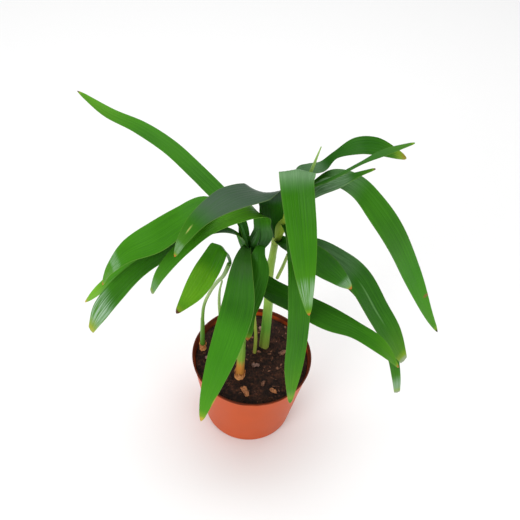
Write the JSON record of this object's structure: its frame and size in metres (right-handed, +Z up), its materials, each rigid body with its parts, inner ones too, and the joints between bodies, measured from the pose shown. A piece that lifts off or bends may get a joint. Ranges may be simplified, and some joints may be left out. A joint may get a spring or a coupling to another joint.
{
  "type": "potted areca palm",
  "caption": "Young areca palm with long arching leaf lobes on slender stems, planted in peat in a plain round tapered plastic nursery pot.",
  "frame": {"origin": "centre of the pot's underside, on the surface that it stands on", "axes": "+Z up along the pot's axis, -Y to the front, +X to the right of the plant"},
  "size_m": [0.2985, 0.1509, 0.3125],
  "materials": {
    "terracotta_plastic": "satin",
    "peat": "matte",
    "bark": "matte",
    "leaf_blade": "satin",
    "young_leaf": "satin",
    "yellow_stem": "satin",
    "green_stem": "satin",
    "pale_stem": "satin",
    "dry_husk": "matte"
  },
  "bodies": {
    "root": {"bark_chip_1": "bark", "bark_chip_10": "bark", "bark_chip_2": "bark", "bark_chip_3": "bark", "bark_chip_4": "bark", "bark_chip_5": "bark", "bark_chip_6": "bark", "bark_chip_7": "bark", "bark_chip_8": "bark", "bark_chip_9": "bark", "husk_front": "dry_husk", "husk_left": "dry_husk", "leaflet_back_right": "leaf_blade", "leaflet_back_right_narrow": "leaf_blade", "leaflet_back_right_small": "leaf_blade", "leaflet_far_left": "leaf_blade", "leaflet_far_right": "leaf_blade", "leaflet_front": "leaf_blade", "leaflet_front_left": "leaf_blade", "leaflet_front_left_under": "leaf_blade", "leaflet_front_under": "leaf_blade", "leaflet_left_arched": "leaf_blade", "leaflet_left_broad": "leaf_blade", "leaflet_left_low": "leaf_blade", "leaflet_left_narrow": "leaf_blade", "leaflet_left_over": "leaf_blade", "leaflet_left_short": "leaf_blade", "leaflet_right": "leaf_blade", "leaflet_right_low": "leaf_blade", "leaflet_right_short": "leaf_blade", "leaflet_right_under": "leaf_blade", "pot": "terracotta_plastic", "rachis_arched": "green_stem", "rachis_left": "green_stem", "rachis_rear": "yellow_stem", "rachis_right": "pale_stem", "soil": "peat", "spear_leaf": "young_leaf", "stem_front": "yellow_stem", "stem_left": "pale_stem", "stem_left_thin": "pale_stem", "stem_middle_thin": "yellow_stem", "stem_rear": "yellow_stem"}
  },
  "joints": []
}
